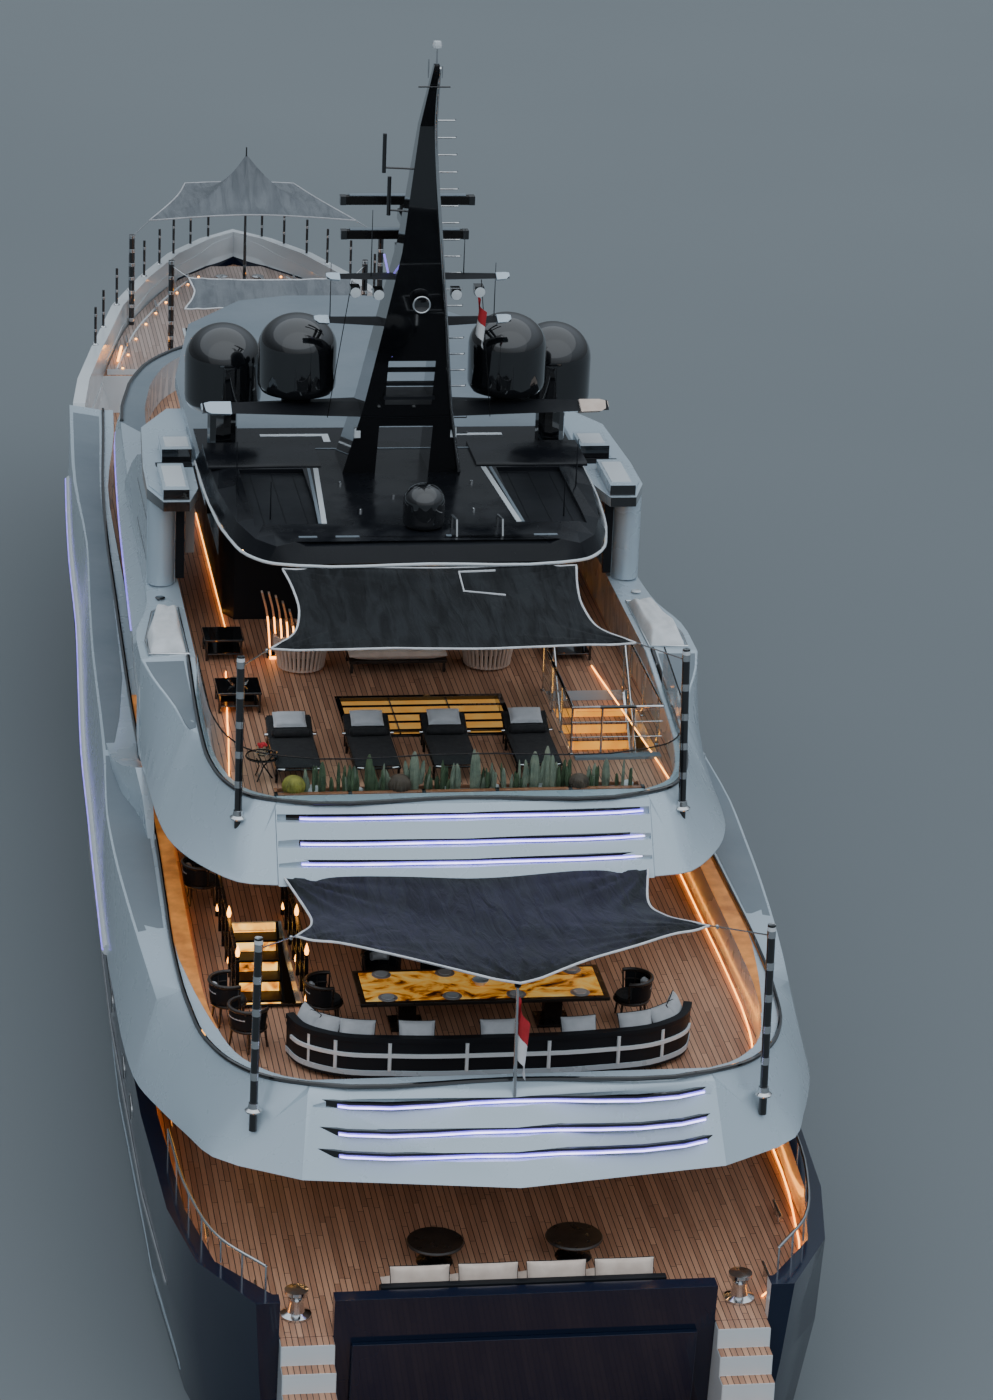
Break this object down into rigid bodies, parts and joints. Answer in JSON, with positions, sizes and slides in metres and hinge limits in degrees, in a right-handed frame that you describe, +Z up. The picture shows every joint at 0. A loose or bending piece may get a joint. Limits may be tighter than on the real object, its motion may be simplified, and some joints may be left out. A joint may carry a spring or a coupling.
{
  "type": "1:2 scale model of a motor yacht",
  "caption": "Long motor yacht at half scale with a dark hull, silver decks, black mast with domes, stern awnings, twin propellers and rudders, afloat at its waterline.",
  "frame": {"origin": "on the centreline at the waterline, amidships", "axes": "+X to starboard, +Y to the bow, +Z up"},
  "size_m": [6.1706, 29, 11.975],
  "materials": {
    "navy_hull": "deep navy high-gloss paint",
    "silver": "pale silver-blue satin metallic paint",
    "black_gloss": "gloss black paint",
    "dark_metal": "dark bronze-black satin paint",
    "steel": "polished stainless steel",
    "bronze": "polished propeller bronze",
    "tinted_glass": "dark tinted glass",
    "teak": "oiled teak planks with dark caulking",
    "dark_wood": "dark stained wood",
    "planter_wood": "copper-brown wood trough with cacti",
    "dark_canvas": "dark grey awning canvas",
    "pale_canvas": "pale grey awning canvas",
    "cream_fabric": "cream outdoor upholstery",
    "grey_fabric": "grey outdoor upholstery",
    "black_fabric": "black lounger fabric with pale pillows"
  },
  "bodies": {
    "yacht": {"hull": "navy_hull", "swim_platform": "teak", "forward_shell": "silver", "main_house": "silver", "upper_house": "silver", "bridge_house": "silver", "upper_deck": "teak", "upper_deck_aft": "teak", "bridge_deck": "teak", "upper_fascia": "silver", "bridge_fascia": "silver", "main_stair": "dark_metal", "bridge_stair": "dark_metal", "hardtop": "black_gloss", "wheelhouse_roof": "silver", "mast": "black_gloss", "radome_small": "black_gloss", "awning_bridge": "dark_canvas", "awning_upper": "dark_canvas", "awning_fore": "pale_canvas", "awning_bow": "pale_canvas", "armchair_port": "cream_fabric", "armchair_starboard": "cream_fabric", "bench": "cream_fabric", "planter": "planter_wood", "dining_table": "dark_wood", "aft_sofa": "grey_fabric", "foredeck": "teak", "ensign_staff": "steel", "lounger_1": "black_fabric", "lounger_2": "black_fabric", "lounger_3": "black_fabric", "lounger_4": "black_fabric", "shaft_line_port": "steel", "upper_bulwark_port": "silver", "bridge_bulwark_port": "silver", "bridge_side_port": "silver", "radome_inner_port": "black_gloss", "radome_outer_port": "black_gloss", "awning_pole_bridge_port": "steel", "awning_pole_upper_port": "steel", "shaft_line_starboard": "steel", "upper_bulwark_starboard": "silver", "bridge_bulwark_starboard": "silver", "bridge_side_starboard": "silver", "radome_inner_starboard": "black_gloss", "radome_outer_starboard": "black_gloss", "awning_pole_bridge_starboard": "steel", "awning_pole_upper_starboard": "steel"},
    "propeller_port": {"propeller_port": "bronze"},
    "propeller_starboard": {"propeller_starboard": "bronze"},
    "rudder_port": {"rudder_port": "navy_hull"},
    "rudder_starboard": {"rudder_starboard": "navy_hull"},
    "stabiliser_fin_port": {"stabiliser_fin_port": "navy_hull"},
    "stabiliser_fin_starboard": {"stabiliser_fin_starboard": "navy_hull"},
    "radar_scanner_lower": {"radar_scanner_lower": "black_gloss"},
    "radar_scanner_upper": {"radar_scanner_upper": "black_gloss"},
    "upper_saloon_door": {"upper_saloon_door": "tinted_glass"},
    "bridge_saloon_door": {"bridge_saloon_door": "tinted_glass"},
    "transom_door": {"transom_door": "navy_hull"}
  },
  "joints": [
    {"name": "propeller_turn_port", "type": "hinge", "parent": "yacht", "child": "propeller_port", "pos_m": [-1.15, -10.8, -1.225], "axis": [0, 0.9958, 0.0917], "continuous": true},
    {"name": "rudder_turn_port", "type": "hinge", "parent": "yacht", "child": "rudder_port", "pos_m": [-1.15, -11.8, -0.675], "axis": [0, 0, 1], "range_deg": [-35, 35]},
    {"name": "fin_turn_port", "type": "hinge", "parent": "yacht", "child": "stabiliser_fin_port", "pos_m": [-2.135, 0.75, -1.135], "axis": [-0.7071, 0, -0.7071], "range_deg": [-20, 20]},
    {"name": "propeller_turn_starboard", "type": "hinge", "parent": "yacht", "child": "propeller_starboard", "pos_m": [1.15, -10.8, -1.225], "axis": [0, 0.9958, 0.0917], "continuous": true},
    {"name": "rudder_turn_starboard", "type": "hinge", "parent": "yacht", "child": "rudder_starboard", "pos_m": [1.15, -11.8, -0.675], "axis": [0, 0, 1], "range_deg": [-35, 35]},
    {"name": "fin_turn_starboard", "type": "hinge", "parent": "yacht", "child": "stabiliser_fin_starboard", "pos_m": [2.135, 0.75, -1.135], "axis": [0.7071, 0, -0.7071], "range_deg": [-20, 20]},
    {"name": "radar_turn_lower", "type": "hinge", "parent": "yacht", "child": "radar_scanner_lower", "pos_m": [0, -3.925, 8.125], "axis": [0, 0, 1], "continuous": true},
    {"name": "radar_turn_upper", "type": "hinge", "parent": "yacht", "child": "radar_scanner_upper", "pos_m": [0, -4.05, 8.5], "axis": [0, 0, 1], "continuous": true},
    {"name": "upper_door_slide", "type": "slide", "parent": "yacht", "child": "upper_saloon_door", "axis": [-1, 0, 0], "range_m": [0, 0.8]},
    {"name": "bridge_door_slide", "type": "slide", "parent": "yacht", "child": "bridge_saloon_door", "axis": [-1, 0, 0], "range_m": [0, 0.7]},
    {"name": "transom_door_lift", "type": "hinge", "parent": "yacht", "child": "transom_door", "pos_m": [0, -13.5011, 1.375], "axis": [-1, 0, 0], "range_deg": [0, 90]}
  ],
  "couplings": [
    {"joint": "rudder_turn_starboard", "follows": "rudder_turn_port", "ratio": 1}
  ]
}
